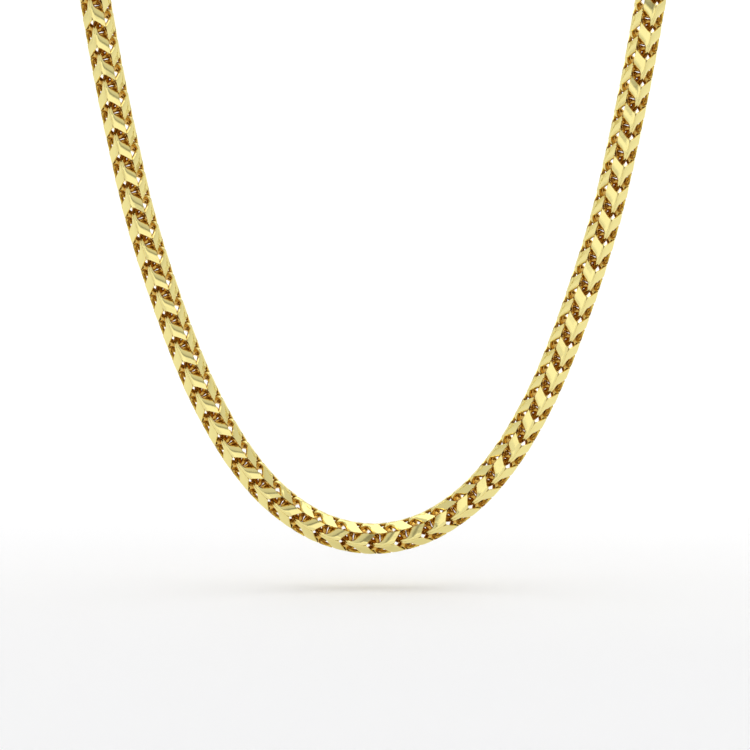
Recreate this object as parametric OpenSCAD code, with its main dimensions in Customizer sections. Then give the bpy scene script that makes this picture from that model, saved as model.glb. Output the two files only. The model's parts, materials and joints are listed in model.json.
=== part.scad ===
// Franco chain necklace: a square chain that hangs in a deep curve at the front
// and closes behind the neck in one plain barrel clasp.
// The origin is where the clasp rests on the nape. +Z is up and -Y is the front.

/* [Chain] */
// Side of the chain's square section, across the flat-cut faces
chain_side = 5; // [3.5:0.1:5.4]
// Width taken off each long edge of the square, where the cut links end
edge_cut = 0.6; // [0.2:0.05:1.2]
// Turn of the section about its run, which brings one long edge to the front
section_turn = 26.6; // [0:0.1:45]

/* [Clasp] */
// Outside diameter of the barrel clasp
clasp_d = 8.8; // [8.4:0.1:11]
// Overall length of the barrel clasp
clasp_length = 20; // [16:0.5:26]
// Radius that rounds the rims of the barrel
clasp_rim = 0.9; // [0.3:0.1:1.2]
// Depth to which each end of the chain sits in the clasp
socket_depth = 2.4; // [1:0.1:5]
// Gap between the chain and the walls of its sockets
socket_gap = 0.2; // [0.1:0.05:0.5]

/* [Hidden] */
gold = [0.87, 0.71, 0.33];

// Right half of the chain's centre line, from its lowest point to the clasp.
// Each row is the distance to the side, behind the front plane and above the lowest point.
// The last row's side distance is set by the clasp, and the left half is its mirror image.
route = [
    [0, 0, 0],
    [10.4, 0, 2.2],
    [19.6, 0, 8.2],
    [26.8, 0, 16.4],
    [32.8, 0, 26.4],
    [37.6, 0, 37],
    [42.8, 0, 51.5],
    [47.2, 0, 66],
    [50.6, 0, 81],
    [53.5, 0, 95.5],
    [56, 0, 110],
    [58.4, 2, 123],
    [60, 9, 134],
    [60.5, 21, 142],
    [60, 36, 146.5],
    [56.5, 53, 149],
    [48.5, 69, 150],
    [36, 81, 150],
    [22, 88, 150],
    [clasp_length / 2 - socket_depth, 90, 150]
];
// Rings between one chosen point and the next
rings_per_span = 2;
// Diagonal of the chain's section across its cut edges
chain_across = norm([chain_side, chain_side - 2 * edge_cut]);
// Diameter of the round socket that holds an end of the chain
socket_d = chain_across + 2 * socket_gap;
// Shift that brings the far end of the route to the middle of the clasp
nape = [0, clasp_d / 2, 0] - [0, route[len(route) - 1].y, route[len(route) - 1].z];

function mirrored(p) = [-p.x, p.y, p.z];
function unit(v) = v / norm(v);

// Point of a smooth curve between b and c, with a and d as the points before and after
function curve_point(a, b, c, d, t) =
    (2 * b + (c - a) * t + (2 * a - 5 * b + 4 * c - d) * t * t
     + (3 * b - a - 3 * c + d) * t * t * t) / 2;

// The right half with the neighbours that its first and last spans need
padded_route = concat([mirrored(route[1])], route, [mirrored(route[len(route) - 1])]);
half_points = [
    for (k = [0 : len(route) - 2], j = [0 : rings_per_span - 1])
        curve_point(padded_route[k], padded_route[k + 1], padded_route[k + 2],
                    padded_route[k + 3], j / rings_per_span) + nape,
    route[len(route) - 1] + nape
];
last_ring = len(half_points) - 1;

// Direction of the run at each ring of the right half
half_runs = [
    for (i = [0 : last_ring])
        i == 0 ? [1, 0, 0]
        : i == last_ring ? [-1, 0, 0]
        : unit(half_points[i + 1] - half_points[i - 1])
];

// Outward side of the section at each ring, carried along without twist
half_sides = [
    for (i = 0, side = [0, 0, -1]; i <= last_ring; i = i + 1,
         side = i > last_ring ? side : unit(side - (side * half_runs[i]) * half_runs[i]))
        side
];

// Rings from the left end to the right end: centre, outward side and front side
chain_rings = concat(
    [for (i = [last_ring : -1 : 1])
        [mirrored(half_points[i]), mirrored(half_sides[i]),
         mirrored(cross(half_sides[i], half_runs[i]))]],
    [for (i = [0 : last_ring])
        [half_points[i], half_sides[i], cross(half_sides[i], half_runs[i])]]
);

// Square with cut edges, turned about its middle
function chain_section() =
    let (flat = chain_side / 2, short = flat - edge_cut)
    [for (quarter = [0 : 3], corner = [[flat, short], [short, flat]])
        let (angle = section_turn + 90 * quarter)
        [corner.x * cos(angle) - corner.y * sin(angle),
         corner.x * sin(angle) + corner.y * cos(angle)]];

// The whole chain: one square run from socket to socket
module chain() {
    section = chain_section();
    sides = len(section);
    rings = len(chain_rings);
    points = [
        for (ring = chain_rings, p = section) ring[0] + p.x * ring[1] + p.y * ring[2]
    ];
    walls = [
        for (i = [0 : rings - 2], k = [0 : sides - 1])
            [i * sides + k, (i + 1) * sides + k,
             (i + 1) * sides + (k + 1) % sides, i * sides + (k + 1) % sides]
    ];
    ends = [
        [for (k = [0 : sides - 1]) k],
        [for (k = [sides - 1 : -1 : 0]) (rings - 1) * sides + k]
    ];
    color(gold) polyhedron(points = points, faces = concat(walls, ends));
}

// Half of the barrel's outline: length along its axis and distance from it
module barrel_profile() {
    half = clasp_length / 2;
    radius = clasp_d / 2;
    intersection() {
        translate([0, -half]) square([radius, clasp_length]);
        hull()
            for (side = [-1, 1])
                translate([radius - clasp_rim, side * (half - clasp_rim)])
                    circle(r = clasp_rim, $fn = 32);
    }
    translate([0, -half]) square([radius - clasp_rim, clasp_length]);
}

// One plain barrel with a round socket in each end
module clasp() {
    color(gold)
        translate([0, clasp_d / 2, 0])
            rotate([0, 90, 0])
                difference() {
                    rotate_extrude($fn = 64) barrel_profile();
                    for (side = [0, 180])
                        rotate([side, 0, 0])
                            translate([0, 0, clasp_length / 2 - socket_depth - socket_gap])
                                cylinder(d = socket_d, h = socket_depth + 1, $fn = 48);
                }
}

chain();
clasp();
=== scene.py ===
"""Franco chain necklace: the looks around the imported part.

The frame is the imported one: the origin is where the clasp rests on the nape,
+Z is up and -Y is the front. Everything here is in metres. The chain's run is
the same line as in the part's source. The folded gold links interlock along it
and stand for the plain square chain, and the barrel clasp keeps its own shape.
"""

import json  # noqa: E402
import logging  # noqa: E402
import math  # noqa: E402
from dataclasses import dataclass, field  # noqa: E402
from enum import Enum  # noqa: E402
from typing import Any, Sequence  # noqa: E402

import bpy  # noqa: E402
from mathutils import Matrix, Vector  # noqa: E402

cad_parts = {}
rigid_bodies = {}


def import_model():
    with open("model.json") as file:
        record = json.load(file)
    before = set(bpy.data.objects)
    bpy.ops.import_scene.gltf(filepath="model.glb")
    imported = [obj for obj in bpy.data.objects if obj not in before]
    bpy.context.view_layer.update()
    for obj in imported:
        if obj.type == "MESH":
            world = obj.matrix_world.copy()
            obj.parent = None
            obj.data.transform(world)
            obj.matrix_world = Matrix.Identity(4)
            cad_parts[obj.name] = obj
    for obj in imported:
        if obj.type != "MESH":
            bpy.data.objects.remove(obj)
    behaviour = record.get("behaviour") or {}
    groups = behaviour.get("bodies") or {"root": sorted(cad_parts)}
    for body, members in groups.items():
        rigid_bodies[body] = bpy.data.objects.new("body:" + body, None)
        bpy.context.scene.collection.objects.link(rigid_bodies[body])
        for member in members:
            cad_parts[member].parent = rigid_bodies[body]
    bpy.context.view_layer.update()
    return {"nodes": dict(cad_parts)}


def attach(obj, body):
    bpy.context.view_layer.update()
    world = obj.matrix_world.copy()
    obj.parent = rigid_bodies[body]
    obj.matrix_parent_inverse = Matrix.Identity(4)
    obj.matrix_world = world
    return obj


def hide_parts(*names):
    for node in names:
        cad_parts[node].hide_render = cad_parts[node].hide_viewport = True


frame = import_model()

MM = 0.001
log = logging.getLogger("franco_chain")

Colour = tuple[float, float, float]


def curve_point(a: Any, b: Any, c: Any, d: Any, t: float) -> Any:
    """A point of the smooth curve that runs from b to c.

    Args:
        a: The number or vector before b.
        b: The one where the span starts.
        c: The one where it ends.
        d: The one after c.
        t: The share of the span, from 0 to 1.

    Returns:
        The number or vector there.
    """
    return (
        2 * b
        + (c - a) * t
        + (2 * a - 5 * b + 4 * c - d) * t**2
        + (3 * b - a - 3 * c + d) * t**3
    ) / 2


def lengths_along(places: Sequence[Sequence[float]]) -> list[float]:
    """The distance from the first place to each one, along them all.

    Args:
        places: Places in order.

    Returns:
        As many distances as places, from 0 up.
    """
    lengths = [0.0]
    for a, b in zip(places, places[1:]):
        lengths.append(lengths[-1] + math.dist(a, b))
    return lengths


def add_object(name: str, data: bpy.types.ID) -> bpy.types.Object:
    """Puts a new object in the scene, at the origin.

    Args:
        name: The object's name.
        data: Its mesh, light or camera.

    Returns:
        The object.
    """
    made = bpy.data.objects.new(name, data)
    bpy.context.scene.collection.objects.link(made)
    return made


# --------------------------------------------------------------- shader maths


class Sock:
    """One shader socket, or a number, that takes part in plain expressions."""

    def __init__(self, graph: "Graph", value: Any) -> None:
        """Wraps a socket or a number of a graph."""
        self.graph = graph
        self.value = value

    def _math(self, operation: str, *others: Any, clamp: bool = False) -> "Sock":
        """Adds a Math node that works on this value and the others.

        Args:
            operation: The Math node's operation.
            others: Numbers or Socks.
            clamp: Whether the result is kept between 0 and 1.

        Returns:
            The node's result.
        """
        values = {i: v for i, v in enumerate((self, *others))}
        return self.graph.node(
            "ShaderNodeMath", {"operation": operation, "use_clamp": clamp}, values
        )

    def __add__(self, other: Any) -> "Sock":
        """This plus other."""
        return self._math("ADD", other)

    def __sub__(self, other: Any) -> "Sock":
        """This minus other."""
        return self._math("SUBTRACT", other)

    def __rsub__(self, other: Any) -> "Sock":
        """Other minus this."""
        return Sock(self.graph, other)._math("SUBTRACT", self)

    def __mul__(self, other: Any) -> "Sock":
        """This times other."""
        return self._math("MULTIPLY", other)

    def __pow__(self, other: Any) -> "Sock":
        """This to the power of other."""
        return self._math("POWER", other)

    __radd__ = __add__
    __rmul__ = __mul__

    def clamped(self) -> "Sock":
        """This value, kept between 0 and 1."""
        return self._math("ADD", 0.0, clamp=True)


class Graph:
    """The node tree of a material or the world, with one method for any node."""

    def __init__(self, owner: bpy.types.ID) -> None:
        """Starts an empty tree.

        Args:
            owner: The material or world that the tree belongs to.
        """
        self.owner = owner
        owner.use_nodes = True
        self.tree = owner.node_tree
        self.tree.nodes.clear()

    @classmethod
    def of_material(cls, name: str) -> "Graph":
        """An empty graph in a new material of that name."""
        return cls(bpy.data.materials.new(name))

    def node(
        self,
        kind: str,
        settings: dict[str, Any] | None = None,
        inputs: dict[Any, Any] | None = None,
        output: Any = 0,
    ) -> Sock:
        """Adds a node, applies its settings, then fills its sockets.

        Args:
            kind: The node's type.
            settings: Attributes of the node. A list under "stops" fills a ramp.
            inputs: Numbers, colours or Socks, by socket name or index.
            output: The name or index of the output that is returned.

        Returns:
            That output as a Sock.
        """
        made = self.tree.nodes.new(kind)
        for key, value in (settings or {}).items():
            if key == "stops":
                self._fill_ramp(made.color_ramp, value)
            else:
                setattr(made, key, value)
        for key, value in (inputs or {}).items():
            raw = value.value if isinstance(value, Sock) else value
            if isinstance(raw, bpy.types.NodeSocket):
                self.tree.links.new(raw, made.inputs[key])
            else:
                made.inputs[key].default_value = raw
        return Sock(self, made.outputs[output] if made.outputs else None)

    @staticmethod
    def _fill_ramp(ramp: bpy.types.ColorRamp, stops: Sequence[tuple]) -> None:
        """Sets a colour ramp's stops.

        Args:
            ramp: The ramp.
            stops: Pairs of a position and a colour, in order.
        """
        while len(ramp.elements) < len(stops):
            ramp.elements.new(0.5)
        for element, (place, colour) in zip(ramp.elements, stops):
            element.position = place
            element.color = (*colour, 1.0)

    def finish(self, **sockets: Any) -> bpy.types.Material:
        """Ends the tree in a Principled shader.

        Args:
            sockets: Values by socket name, with _ for a space.

        Returns:
            The finished material.
        """
        names = {key.replace("_", " "): value for key, value in sockets.items()}
        shader = self.node("ShaderNodeBsdfPrincipled", None, names, "BSDF")
        self.node("ShaderNodeOutputMaterial", None, {"Surface": shader})
        return self.owner


# ------------------------------------------------------------------- finishes


@dataclass(frozen=True)
class PolishedGold:
    """The links' gold: mirror bright on the cut flats, with painted shade that makes it
    darker and redder deep inside.
    """

    flat_colour: Colour = (0.92, 0.81, 0.34)
    # Painted shade: the darker, redder gold used deep under the cut faces, in the
    # notches between the leaves.
    recess_shade_colour: Colour = (0.68, 0.41, 0.08)
    flat_roughness: float = 0.07
    deep_roughness: float = 0.16
    tilt: float = 0.07
    wave_height: float = 0.000012
    streak_height: float = 0.000001
    wave_scale: float = 420.0
    streak_scale: float = 2600.0
    # How quickly the painted shade deepens with depth under the cut faces.
    recess_shade_share: float = 1.15
    shade_colour: Colour = (0.86, 0.80, 0.62)

    def material(self) -> bpy.types.Material:
        """Builds the finish from the links' own depth and tone attributes. The depth
        also drives a painted shade in the notches.

        Returns:
            The material.
        """
        graph = Graph.of_material("polished_gold")
        place = graph.node("ShaderNodeTexCoord", output="Object")
        depth = graph.node(
            "ShaderNodeAttribute", {"attribute_name": "depth"}, output="Fac"
        )
        tone = graph.node(
            "ShaderNodeAttribute", {"attribute_name": "tone"}, output="Fac"
        )
        haze = graph.node(
            "ShaderNodeTexNoise",
            None,
            {"Vector": place, "Scale": self.wave_scale, "Detail": 3.0},
        )
        grain = graph.node(
            "ShaderNodeTexNoise",
            None,
            {"Vector": place, "Scale": self.streak_scale, "Detail": 2.0},
        )
        # Painted shade: the colour turns darker and redder with depth under the cut
        # faces.
        colour = graph.node(
            "ShaderNodeMix",
            {"data_type": "RGBA"},
            {
                0: (depth * self.recess_shade_share).clamped(),
                6: (*self.flat_colour, 1.0),
                7: (*self.recess_shade_colour, 1.0),
            },
            2,
        )
        shade = graph.node(
            "ShaderNodeMix",
            {"data_type": "RGBA", "blend_type": "MULTIPLY"},
            {
                0: (tone * 0.10 + haze * 0.06).clamped(),
                6: colour,
                7: (*self.shade_colour, 1.0),
            },
            2,
        )
        roughness = (
            self.flat_roughness
            + depth * (self.deep_roughness - self.flat_roughness)
            + haze * 0.05
        )
        along = graph.node("ShaderNodeSeparateXYZ", None, {0: place}, 2)
        height = (
            (tone - 0.5) * self.tilt * along
            + haze * self.wave_height
            + grain * self.streak_height
        )
        bump = graph.node(
            "ShaderNodeBump",
            None,
            {"Strength": 1.0, "Distance": 1.0, "Height": height},
            "Normal",
        )
        return graph.finish(
            Base_Color=shade, Metallic=1.0, Roughness=roughness, Normal=bump
        )


@dataclass(frozen=True)
class ClaspGold:
    """The barrel's gold: turned and polished, with faint rings round it."""

    colour: Colour = (0.92, 0.79, 0.34)
    worn_colour: Colour = (0.84, 0.67, 0.26)
    roughness: float = 0.12
    haze_scale: float = 260.0
    ring_scale: float = 260.0
    ring_height: float = 0.00002

    def material(self) -> bpy.types.Material:
        """Builds the finish on Object coordinates, whose X is the barrel's axis.

        Returns:
            The material.
        """
        graph = Graph.of_material("clasp_gold")
        place = graph.node("ShaderNodeTexCoord", output="Object")
        haze = graph.node(
            "ShaderNodeTexNoise",
            None,
            {"Vector": place, "Scale": self.haze_scale, "Detail": 4.0},
        )
        rings = graph.node(
            "ShaderNodeTexWave",
            {"wave_type": "BANDS", "bands_direction": "X"},
            {
                "Vector": place,
                "Scale": self.ring_scale,
                "Distortion": 1.5,
                "Detail": 2.0,
            },
            "Fac",
        )
        colour = graph.node(
            "ShaderNodeMix",
            {"data_type": "RGBA"},
            {
                0: (haze * 0.8).clamped(),
                6: (*self.colour, 1.0),
                7: (*self.worn_colour, 1.0),
            },
            2,
        )
        bump = graph.node(
            "ShaderNodeBump",
            None,
            {"Strength": 0.3, "Distance": self.ring_height, "Height": rings},
            "Normal",
        )
        return graph.finish(
            Base_Color=colour,
            Metallic=1.0,
            Roughness=self.roughness + haze * 0.1 + rings * 0.04,
            Normal=bump,
        )


@dataclass(frozen=True)
class PalePaper:
    """The studio floor: matt, nearly white, with the faintest mottle."""

    light: Colour = (0.97, 0.97, 0.97)
    dark: Colour = (0.94, 0.94, 0.95)

    def material(self) -> bpy.types.Material:
        """Builds the paper on Object coordinates.

        Returns:
            The material.
        """
        graph = Graph.of_material("pale_paper")
        place = graph.node("ShaderNodeTexCoord", output="Object")
        mottle = graph.node(
            "ShaderNodeTexNoise", None, {"Vector": place, "Scale": 6.0, "Detail": 2.0}
        )
        colour = graph.node(
            "ShaderNodeMix",
            {"data_type": "RGBA"},
            {0: mottle, 6: (*self.light, 1.0), 7: (*self.dark, 1.0)},
            2,
        )
        return graph.finish(Base_Color=colour, Roughness=0.85)


# ---------------------------------------------------------------- the chain's run


@dataclass
class ChainRun:
    """The chain's centre line from one socket of the clasp to the other."""

    half: Sequence[tuple[float, float, float]] = (
        (0, 0, 0),
        (10.4, 0, 2.2),
        (19.6, 0, 8.2),
        (26.8, 0, 16.4),
        (32.8, 0, 26.4),
        (37.6, 0, 37),
        (42.8, 0, 51.5),
        (47.2, 0, 66),
        (50.6, 0, 81),
        (53.5, 0, 95.5),
        (56, 0, 110),
        (58.4, 2, 123),
        (60, 9, 134),
        (60.5, 21, 142),
        (60, 36, 146.5),
        (56.5, 53, 149),
        (48.5, 69, 150),
        (36, 81, 150),
        (22, 88, 150),
        (7.6, 90, 150),
    )
    clasp_radius: float = 4.4
    cuts_per_span: int = 24
    step: float = 0.5 * MM
    socket_stretch: float = 9 * MM
    socket_share: float = 0.93

    def _right_half(self) -> list[Vector]:
        """The smooth right half of the run.

        Returns:
            Its points, from the lowest one to the clasp.
        """
        points = [Vector(p) for p in self.half]
        mirror = Vector((-1, 1, 1))
        padded = [points[1] * mirror, *points, points[-1] * mirror]
        last = points[-1]
        shift = Vector((0, self.clasp_radius - last.y, -last.z))
        line = []
        for a, b, c, d in zip(padded, padded[1:], padded[2:], padded[3:]):
            for cut in range(self.cuts_per_span):
                line.append(curve_point(a, b, c, d, cut / self.cuts_per_span))
        line.append(last)
        return [(p + shift) * MM for p in line]

    @staticmethod
    def _carried_sides(line: list[Vector]) -> list[Vector]:
        """Carries the outer side's direction along a line without twist.

        Args:
            line: The line's points.

        Returns:
            The direction at each point.
        """
        side, sides = Vector((0, 0, -1)), []
        for i, _ in enumerate(line):
            run = (
                line[min(i + 1, len(line) - 1)] - line[max(i - 1, 0)]
                if i
                else Vector((1, 0, 0))
            ).normalized()
            side = (side - side.dot(run) * run).normalized()
            sides.append(side.copy())
        return sides

    def stations(self) -> tuple[list[Vector], list[Vector], list[Vector]]:
        """Equal steps along the whole run.

        Returns:
            The points, the directions of the outer side and those of the front.
            Both directions shorten near the ends, which draws the chain in
            before it enters the sockets.
        """
        right = self._right_half()
        sides = self._carried_sides(right)
        flip = Vector((-1, 1, 1))
        points = [p * flip for p in reversed(right[1:])] + right
        outer = [s * flip for s in reversed(sides[1:])] + sides
        lengths = lengths_along(points)
        total, spot = lengths[-1], 0
        count = round(total / self.step)
        made: tuple[list, list, list] = ([], [], [])
        for i in range(count + 1):
            along = total * i / count
            while spot < len(lengths) - 2 and lengths[spot + 1] < along:
                spot += 1
            share = (along - lengths[spot]) / (lengths[spot + 1] - lengths[spot])
            run = (points[spot + 1] - points[spot]).normalized()
            side = outer[spot].lerp(outer[spot + 1], share)
            side = (side - side.dot(run) * run).normalized()
            edge = min(1.0, min(along, total - along) / self.socket_stretch)
            draw = 1 - (1 - self.socket_share) * (1 - edge) ** 2
            made[0].append(points[spot].lerp(points[spot + 1], share))
            made[1].append(side * draw)
            made[2].append(side.cross(run) * draw)
        return made

    def guide(self) -> tuple[bpy.types.Object, float, float]:
        """Makes the mesh of stations that the links' nodes read.

        Returns:
            The guide, the length of the run and the length of one step.
        """
        points, side, front = self.stations()
        mesh = bpy.data.meshes.new("chain_run")
        mesh.from_pydata(points, [(i, i + 1) for i in range(len(points) - 1)], [])
        for name, vectors in (("side", side), ("front", front)):
            layer = mesh.attributes.new(name, "FLOAT_VECTOR", "POINT")
            layer.data.foreach_set("vector", [c for v in vectors for c in v])
        length = lengths_along(points)[-1]
        return add_object("chain_run", mesh), length, length / (len(points) - 1)


# ------------------------------------------------------------------- the links


@dataclass(frozen=True)
class Section:
    """The gold strand of a link at one place, in millimetres.

    u points from the chain's centre line to the ridge that the link shows on,
    v across it and z along the chain. The strand is wide along the surface and
    thick towards its outward direction.
    """

    u: float
    v: float
    z: float
    width: float
    thickness: float
    outward: tuple[float, float, float]
    wide: tuple[float, float, float]


class Corner(Enum):
    """The four quarters of a link, as the signs of u and v."""

    RIGHT_FRONT = (1, 1)
    RIGHT_BACK = (1, -1)
    LEFT_BACK = (-1, -1)
    LEFT_FRONT = (-1, 1)


@dataclass
class FoldedLink:
    """One closed link, pinched at its middle and folded up on two ridges.

    Its pinched base crosses the chain's centre line. Each half comes out at a
    ridge through the eye of the link before it on that ridge, fans out into
    the two cut leaves of a chevron, and closes under the neck of the next one.
    """

    ridge_radius: float = 3.42
    middle_radius: float = 3.3
    ridge_flat: float = 3.29
    seam: float = 0.006
    leaf_thickness: float = 1.15
    leaf_proud: float = 0.28
    around: int = 72
    sides: int = 12
    roundness: float = 2.6
    cuts_per_span: int = 16
    trim_passes: int = 3
    sharp_from: float = math.radians(28)

    @property
    def face_angle(self) -> float:
        """Angle from a ridge to the normal of each cut face beside it."""
        half = self.middle_radius / math.sqrt(2)
        return math.atan2(self.ridge_radius - half, half)

    @property
    def face_distance(self) -> float:
        """Distance of every cut face from the centre line."""
        return self.ridge_radius * math.cos(self.face_angle)

    def _neck(
        self, u: float, z: float, wide: float, tall: float, lean: float = 0.0
    ) -> Section:
        """A section of the pinched base.

        Args:
            u: Distance from the centre line.
            z: Place along the chain.
            wide: Width of the strand.
            tall: Its height along the chain.
            lean: How far the outward direction leans towards the ridge.

        Returns:
            The section.
        """
        return Section(
            u, wide / 2 + self.seam, z, wide, tall, (lean, 0, -1), (0, -1, 0)
        )

    def _leaf(
        self,
        top: tuple[float, float],
        foot: tuple[float, float],
        sunk: float = 0.0,
        lean: float = 0.0,
    ) -> Section:
        """A section of a leaf, between two places on its cut face.

        Args:
            top: Distance from the ridge and place along the chain of the
                leaf's upper edge.
            foot: The same of its lower edge.
            sunk: How much deeper than the rest of the leaf it lies.
            lean: Share of the chain's direction in the outward direction.

        Returns:
            The section.
        """
        turn = self.face_angle
        cos, sin = math.cos(turn), math.sin(turn)
        deep = self.face_distance - self.leaf_thickness / 2 + self.leaf_proud - sunk
        along = (top[0] + foot[0]) / 2 - self.ridge_radius * sin
        down, over = foot[1] - top[1], foot[0] - top[0]
        width = math.hypot(down, over)
        return Section(
            deep * cos - along * sin,
            deep * sin + along * cos,
            (top[1] + foot[1]) / 2,
            width,
            self.leaf_thickness,
            (cos, sin, lean),
            (-sin * over / width, cos * over / width, down / width),
        )

    def quarter(self) -> list[Section]:
        """The sections from the base to the closed eye, for u and v above 0."""
        return [
            self._neck(0.0, -0.74, 0.64, 1.20),
            self._neck(1.0, -0.70, 0.68, 1.12),
            self._neck(1.62, -0.40, 0.74, 0.86, 0.07),
            self._leaf((0.72, 0.40), (0.15, 0.53), 0.42, -1.2),
            self._leaf((0.68, 1.00), (0.0, 2.15), 0.0, -0.38),
            self._leaf((1.05, 1.55), (0.0, 3.95), 0.0, -0.30),
            self._leaf((1.65, 2.12), (0.85, 4.55), 0.0, -0.25),
            self._leaf((2.25, 2.65), (1.70, 5.30), 0.0, -0.25),
            self._leaf((2.75, 3.25), (2.45, 5.95), 0.05, -0.2),
            Section(2.15, 1.94, 4.95, 1.5, 0.75, (0.35, 0.9, 0), (0, 0, 1)),
            Section(1.75, 1.38, 5.72, 0.76, 0.64, (-0.5, 0.8, 0), (0, 0, 1)),
            Section(1.22, 0.62, 6.12, 1.10, 0.66, (-0.85, 0.5, 0), (0, 0, 1)),
            Section(1.12, 0.0, 6.18, 1.26, 0.66, (-1, 0, 0), (0, 0, 1)),
        ]

    def _ring(self) -> list[list[float]]:
        """Mirrors the quarter's sections into the whole closed line.

        Returns:
            A row of eleven numbers for each section: its place, its width and
            thickness, its outward direction and its wide one.
        """
        quarter = self.quarter()
        orders = {
            Corner.RIGHT_FRONT: quarter,
            Corner.RIGHT_BACK: quarter[-2::-1],
            Corner.LEFT_BACK: quarter[1:],
            Corner.LEFT_FRONT: quarter[-2:0:-1],
        }
        rows = []
        for corner, sections in orders.items():
            su, sv = corner.value
            for s in sections:
                row = [su * s.u, sv * s.v, s.z, s.width, s.thickness]
                for x, y, z in (s.outward, s.wide):
                    row += [su * x, sv * y, z]
                rows.append(row)
        return rows

    def _even_rows(self) -> list[list[float]]:
        """Smooths the closed line of sections.

        Returns:
            Its rows, at equal distances along the strand.
        """
        rows, fine = self._ring(), []
        for k, b in enumerate(rows):
            a, c, d = (rows[(k + i) % len(rows)] for i in (-1, 1, 2))
            for cut in range(self.cuts_per_span):
                t = cut / self.cuts_per_span
                fine.append([curve_point(*four, t) for four in zip(a, b, c, d)])
        closed = [*fine, fine[0]]
        lengths = lengths_along([row[:3] for row in closed])
        even, spot = [], 0
        for i in range(self.around):
            along = lengths[-1] * i / self.around
            while lengths[spot + 1] < along:
                spot += 1
            share = (along - lengths[spot]) / (lengths[spot + 1] - lengths[spot])
            even.append(
                [p + (q - p) * share for p, q in zip(closed[spot], closed[spot + 1])]
            )
        return even

    def _kept_in(self, point: Vector, side: float) -> tuple[Vector, float]:
        """Trims one point of the strand as the links' seams and flats do.

        Args:
            point: The point, in millimetres.
            side: The sign of v on the half that the point belongs to.

        Returns:
            The trimmed point, and its depth under the cut faces.
        """
        x, y, z = point
        depth = math.inf
        for _ in range(self.trim_passes):
            if side:
                y = side * max(side * y, self.seam)
            over = (abs(y) - abs(x)) / math.sqrt(2) + self.seam
            if over > 0 and z > 1:
                x = math.copysign(abs(x) + over / math.sqrt(2), x)
                y = math.copysign(abs(y) - over / math.sqrt(2), y)
            x = max(-self.ridge_flat, min(self.ridge_flat, x))
            for quarter in range(4):
                for sign in (1, -1):
                    turn = quarter * math.pi / 2 + sign * self.face_angle
                    cos, sin = math.cos(turn), math.sin(turn)
                    over = x * cos + y * sin - self.face_distance
                    depth = min(depth, -over)
                    if over > 0:
                        x, y = x - cos * over, y - sin * over
        return Vector((x, y, z)), max(0.0, depth)

    def pattern(self) -> bpy.types.Object:
        """Makes the link that the nodes repeat, with its depth attribute.

        Returns:
            The link's object.
        """
        rows, points, depths = self._even_rows(), [], []
        for row in rows:
            centre, out = Vector(row[:3]), Vector(row[5:8]).normalized()
            across = Vector(row[8:])
            across = (across - across.dot(out) * out).normalized()
            side = math.copysign(1.0, row[1]) if abs(row[1]) > 0.25 else 0.0
            for k in range(self.sides):
                turn = 2 * math.pi * (k + 0.5) / self.sides
                cos, sin = math.cos(turn), math.sin(turn)
                power = 2 / self.roundness
                wide = math.copysign(abs(cos) ** power, cos) * row[3] / 2
                high = math.copysign(abs(sin) ** power, sin) * row[4] / 2
                point, depth = self._kept_in(centre + across * wide + out * high, side)
                points.append(point * MM)
                depths.append(min(1.0, depth))
        faces = [
            (
                i * self.sides + k,
                i * self.sides + (k + 1) % self.sides,
                (i + 1) % self.around * self.sides + (k + 1) % self.sides,
                (i + 1) % self.around * self.sides + k,
            )
            for i in range(self.around)
            for k in range(self.sides)
        ]
        mesh = bpy.data.meshes.new("folded_link")
        mesh.from_pydata(points, [], faces)
        mesh.attributes.new("depth", "FLOAT", "POINT").data.foreach_set("value", depths)
        mesh.shade_smooth()
        mesh.set_sharp_from_angle(angle=self.sharp_from)
        return add_object("folded_link", mesh)


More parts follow.
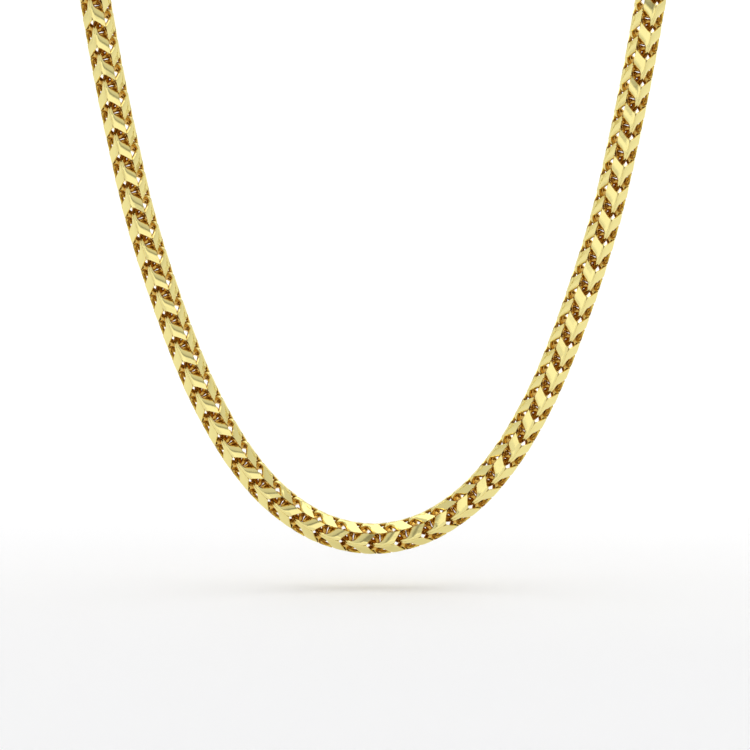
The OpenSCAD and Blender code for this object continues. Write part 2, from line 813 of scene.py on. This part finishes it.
class LinkNodes:
    """The Geometry Nodes tree that lays links along a guide."""

    INPUTS = (
        ("Link", "NodeSocketObject"),
        ("Guide", "NodeSocketObject"),
        ("Gold", "NodeSocketMaterial"),
        ("First", "NodeSocketInt"),
        ("Count", "NodeSocketInt"),
        ("Start", "NodeSocketFloat"),
        ("Spacing", "NodeSocketFloat"),
        ("Step", "NodeSocketFloat"),
        ("Turn", "NodeSocketFloat"),
        ("Seed", "NodeSocketInt"),
    )

    def __init__(self) -> None:
        """Builds the tree."""
        self.tree = bpy.data.node_groups.new("links_along_run", "GeometryNodeTree")
        face = self.tree.interface
        face.new_socket("Links", in_out="OUTPUT", socket_type="NodeSocketGeometry")
        self.ids = {
            name: face.new_socket(name, in_out="INPUT", socket_type=kind).identifier
            for name, kind in self.INPUTS
        }
        self.given = self.tree.nodes.new("NodeGroupInput").outputs
        self._build()

    def _node(
        self,
        kind: str,
        settings: dict[str, Any] | None = None,
        inputs: dict[Any, Any] | None = None,
        output: Any = 0,
    ) -> Any:
        """Adds a node of the tree.

        Args:
            kind: The node's type.
            settings: Attributes of the node.
            inputs: Values or sockets, by socket name or index.
            output: The output that is returned.

        Returns:
            That output socket.
        """
        made = self.tree.nodes.new(kind)
        for key, value in (settings or {}).items():
            setattr(made, key, value)
        for key, value in (inputs or {}).items():
            if isinstance(value, bpy.types.NodeSocket):
                self.tree.links.new(value, made.inputs[key])
            else:
                made.inputs[key].default_value = value
        return made.outputs[output] if made.outputs else None

    def _math(self, operation: str, a: Any, b: Any = 0.0) -> Any:
        """A Math node's result on one or two values."""
        return self._node("ShaderNodeMath", {"operation": operation}, {0: a, 1: b})

    def _read_guide(self, value: Any, low: Any, share: Any, guide: Any) -> Any:
        """A vector of the guide between two of its stations.

        Args:
            value: The field that is read.
            low: Index of the station before.
            share: How far the place is towards the next station.
            guide: The guide's geometry.

        Returns:
            The blended vector.
        """
        ends = [
            self._node(
                "GeometryNodeSampleIndex",
                {"data_type": "FLOAT_VECTOR", "domain": "POINT", "clamp": True},
                {"Geometry": guide, "Value": value, "Index": index},
            )
            for index in (low, self._math("ADD", low, 1.0))
        ]
        return self._node(
            "ShaderNodeMix",
            {"data_type": "VECTOR"},
            {0: share, 4: ends[0], 5: ends[1]},
            1,
        )

    def _vector(self, name: str) -> Any:
        """The guide's named vector attribute."""
        return self._node(
            "GeometryNodeInputNamedAttribute",
            {"data_type": "FLOAT_VECTOR"},
            {"Name": name},
        )

    def _scaled(self, vector: Any, factor: Any) -> Any:
        """A vector times a number."""
        return self._node(
            "ShaderNodeVectorMath",
            {"operation": "SCALE"},
            {"Vector": vector, "Scale": factor},
        )

    def _sum(self, a: Any, b: Any) -> Any:
        """The sum of two vectors."""
        return self._node("ShaderNodeVectorMath", {"operation": "ADD"}, {0: a, 1: b})

    def _build(self) -> None:
        """Lays the links in a straight row, then bends the row along the guide."""
        given = self.given
        first = self._math("MULTIPLY", given["First"], given["Spacing"])
        begin = self._node(
            "ShaderNodeCombineXYZ", None, {2: self._math("ADD", first, given["Start"])}
        )
        offset = self._node("ShaderNodeCombineXYZ", None, {2: given["Spacing"]})
        row = self._node(
            "GeometryNodeMeshLine",
            {"mode": "OFFSET"},
            {"Count": given["Count"], "Start Location": begin, "Offset": offset},
        )
        number = self._math("ADD", self._node("GeometryNodeInputIndex"), given["First"])
        quarter = self._math("MULTIPLY", self._math("MODULO", number, 2.0), math.pi / 2)
        turned = self._node(
            "ShaderNodeCombineXYZ", None, {2: self._math("ADD", quarter, given["Turn"])}
        )
        link = self._node(
            "GeometryNodeObjectInfo", None, {0: given["Link"]}, "Geometry"
        )
        placed = self._node(
            "GeometryNodeInstanceOnPoints",
            None,
            {"Points": row, "Instance": link, "Rotation": turned},
        )
        tone = self._node(
            "FunctionNodeRandomValue",
            {"data_type": "FLOAT"},
            {2: 0.0, 3: 1.0, "ID": number, "Seed": given["Seed"]},
            1,
        )
        toned = self._node(
            "GeometryNodeStoreNamedAttribute",
            {"data_type": "FLOAT", "domain": "INSTANCE"},
            {"Geometry": placed, "Name": "tone", "Value": tone},
        )
        real = self._node("GeometryNodeRealizeInstances", None, {0: toned})
        spot = self._node("GeometryNodeInputPosition")
        parts = self.tree.nodes.new("ShaderNodeSeparateXYZ")
        self.tree.links.new(spot, parts.inputs[0])
        station = self._math("DIVIDE", parts.outputs[2], given["Step"])
        low = self._math("FLOOR", station)
        share = self._math("SUBTRACT", station, low)
        guide = self._node(
            "GeometryNodeObjectInfo", None, {0: given["Guide"]}, "Geometry"
        )
        line = self._read_guide(
            self._node("GeometryNodeInputPosition"), low, share, guide
        )
        front = self._read_guide(self._vector("front"), low, share, guide)
        side = self._read_guide(self._vector("side"), low, share, guide)
        bent = self._sum(
            line,
            self._sum(
                self._scaled(front, parts.outputs[0]),
                self._scaled(side, parts.outputs[1]),
            ),
        )
        moved = self._node(
            "GeometryNodeSetPosition", None, {"Geometry": real, "Position": bent}
        )
        golden = self._node(
            "GeometryNodeSetMaterial",
            None,
            {"Geometry": moved, "Material": given["Gold"]},
        )
        self._node("NodeGroupOutput", None, {0: golden})


@dataclass
class FrancoChain:
    """The whole chain of links, which stands for the plain square chain."""

    run: ChainRun = field(default_factory=ChainRun)
    link: FoldedLink = field(default_factory=FoldedLink)
    pitch: float = 5.45 * MM
    link_start: float = 1.0 * MM
    link_end: float = 6.3 * MM
    ridge_turn: float = math.radians(108.4)
    tone_seed: int = 7
    lengths: Sequence[str] = ("links_left", "links_right")

    def build(self) -> list[bpy.types.Object]:
        """Lays and dresses the links, and hides the plain chain.

        Returns:
            The pieces.
        """
        guide, length, step = self.run.guide()
        pattern = self.link.pattern()
        gold = PolishedGold().material()
        nodes = LinkNodes()
        room = length - self.link_start - self.link_end
        count = math.floor(room / (self.pitch / 2)) + 1
        spacing = room / (count - 1)
        share = math.ceil(count / len(self.lengths))
        pieces = []
        for i, name in enumerate(self.lengths):
            first = i * share
            values = {
                "Link": pattern,
                "Guide": guide,
                "Gold": gold,
                "First": first,
                "Count": min(share, count - first),
                "Start": self.link_start,
                "Spacing": spacing,
                "Step": step,
                "Turn": self.ridge_turn,
                "Seed": self.tone_seed,
            }
            pieces.append(self._lay(name, nodes, values))
        for helper in (guide, pattern):
            bpy.data.objects.remove(helper)
        log.info("%d links at %.3f mm, run %.1f mm", count, spacing / MM, length / MM)
        return pieces

    @staticmethod
    def _lay(name: str, nodes: LinkNodes, values: dict[str, Any]) -> bpy.types.Object:
        """Runs the nodes once and keeps the result as a plain mesh.

        Args:
            name: The piece's name.
            nodes: The tree.
            values: Its inputs by name.

        Returns:
            The piece, which rides on the part.
        """
        holder = add_object(name + "_nodes", bpy.data.meshes.new(name))
        modifier = holder.modifiers.new("links", "NODES")
        modifier.node_group = nodes.tree
        for key, value in values.items():
            modifier[nodes.ids[key]] = value
        graph = bpy.context.evaluated_depsgraph_get()
        mesh = bpy.data.meshes.new_from_object(
            holder.evaluated_get(graph), preserve_all_data_layers=True, depsgraph=graph
        )
        holder.modifiers.remove(modifier)
        bpy.data.objects.remove(holder)
        piece = add_object(name, mesh)
        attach(piece, "root")
        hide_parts("chain")
        return piece


@dataclass
class BarrelClasp:
    """The clasp keeps the part's own shape and gets its finish here."""

    finish: ClaspGold = field(default_factory=ClaspGold)

    def dress(self) -> bpy.types.Object:
        """Gives the clasp its gold.

        Returns:
            The clasp's node.
        """
        clasp = frame["nodes"]["clasp"]
        clasp.data.materials.clear()
        clasp.data.materials.append(self.finish.material())
        return clasp


# ------------------------------------------------------------------ the studio


@dataclass
class Studio:
    """A pale sweep of paper, soft lights and the photograph's camera."""

    floor_z: float = -0.16
    floor_reach: float = 0.45
    floor_back: float = 0.9
    floor_half: float = 4.0
    sweep_radius: float = 0.5
    sweep_height: float = 2.0
    sweep_cuts: int = 12
    aim: tuple[float, float, float] = (0.0004, -0.0856, -0.1164)
    distance: float = 0.8
    elevation: float = math.radians(6)
    view_width: float = 0.1525
    room_light: float = 1.26
    front_focus: float = 4.0
    sensor: float = 36.0
    front_tones: tuple[tuple[float, float], ...] = (
        (0.0, 0.40),
        (0.42, 0.54),
        (0.47, 0.92),
        (0.522, 0.90),
        (0.537, 0.40),
        (0.555, 0.12),
        (0.59, 0.50),
        (1.0, 0.70),
    )
    side_tones: tuple[tuple[float, float], ...] = (
        (0.0, 0.50),
        (0.47, 0.72),
        (0.53, 0.78),
        (0.75, 0.59),
        (1.0, 0.52),
    )

    def build(self) -> bpy.types.Object:
        """Makes the floor, the lights and the camera.

        Returns:
            The floor.
        """
        floor = self._floor()
        self._lights()
        self._camera()
        return floor

    def _floor(self) -> bpy.types.Object:
        """Makes the sweep: flat under the chain, curved up far behind it.

        Returns:
            The floor.
        """
        back, radius = self.floor_back, self.sweep_radius
        outline = [(-self.floor_reach, 0.0), (back, 0.0)]
        for i in range(1, self.sweep_cuts + 1):
            turn = math.pi / 2 * i / self.sweep_cuts
            outline.append(
                (back + radius * math.sin(turn), radius * (1 - math.cos(turn)))
            )
        outline.append((back + radius, self.sweep_height))
        points = [
            (x, y, self.floor_z + z)
            for x in (-self.floor_half, self.floor_half)
            for y, z in outline
        ]
        count = len(outline)
        faces = [(i, i + count, i + count + 1, i + 1) for i in range(count - 1)]
        mesh = bpy.data.meshes.new("floor")
        mesh.from_pydata(points, [], faces)
        mesh.shade_smooth()
        mesh.materials.append(PalePaper().material())
        floor = add_object("floor", mesh)
        return floor

    def _softbox(
        self,
        name: str,
        place: tuple[float, float, float],
        facing: tuple[float, float, float],
        size: tuple[float, float],
        power: float,
    ) -> None:
        """Adds one soft light.

        Args:
            name: The light's name.
            place: Where it stands, from the point that the camera aims at.
            facing: The direction that it shines in.
            size: Its width and height.
            power: Its power in watts.
        """
        lamp = bpy.data.lights.new(name, "AREA")
        lamp.shape = "RECTANGLE"
        lamp.size, lamp.size_y = size
        lamp.energy = power
        light = add_object(name, lamp)
        light.location = Vector(self.aim) + Vector(place)
        light.rotation_euler = Vector(facing).to_track_quat("-Z", "Y").to_euler()

    def _lights(self) -> None:
        """A bright room, one large box overhead and one that lights the sweep."""
        self._room()
        self._softbox("overhead", (0.0, 0.1, 1.1), (0.0, -0.1, -1.0), (1.6, 1.0), 4.0)
        self._softbox("sweep", (0.0, 0.3, 0.9), (0.0, 1.0, -0.4), (2.6, 0.6), 9.0)

    def _room(self) -> None:
        """The tent round the set, with a dim band at the camera's height."""
        graph = Graph(bpy.data.worlds.new("studio"))
        place = graph.node("ShaderNodeTexCoord", output="Generated")
        forward, high = (
            graph.node("ShaderNodeSeparateXYZ", None, {0: place}, i) for i in (1, 2)
        )
        height = high * 0.5 + 0.5
        front, rest = (
            graph.node(
                "ShaderNodeValToRGB",
                {"stops": [(at, (grey,) * 3) for at, grey in tones]},
                {0: height},
            )
            for tones in (self.front_tones, self.side_tones)
        )
        share = (0.0 - forward).clamped() ** self.front_focus
        grey = graph.node(
            "ShaderNodeMix", {"data_type": "RGBA"}, {0: share, 6: rest, 7: front}, 2
        )
        light = graph.node(
            "ShaderNodeBackground", None, {"Color": grey, "Strength": self.room_light}
        )
        graph.node("ShaderNodeOutputWorld", None, {"Surface": light})
        bpy.context.scene.world = graph.owner

    def _camera(self) -> None:
        """The photograph's camera, assuming a square frame."""
        data = bpy.data.cameras.new("camera")
        data.sensor_width = self.sensor
        data.lens = self.sensor * self.distance / self.view_width
        data.clip_end = 50.0
        camera = add_object("camera", data)
        back = Vector((0, -math.cos(self.elevation), math.sin(self.elevation)))
        camera.location = Vector(self.aim) + back * self.distance
        camera.rotation_euler = (-back).to_track_quat("-Z", "Y").to_euler()
        bpy.context.scene.camera = camera
        bpy.context.scene.view_settings.view_transform = "Standard"


def main() -> None:
    """Builds the studio and the necklace, and reports each piece."""
    logging.basicConfig(level=logging.INFO, format="%(message)s")
    Studio().build()
    log.info("studio ready")
    for piece in FrancoChain().build():
        log.info("%s: %d faces", piece.name, len(piece.data.polygons))
    clasp = BarrelClasp().dress()
    log.info("%s dressed", clasp.name)


if __name__ == "__main__":
    main()
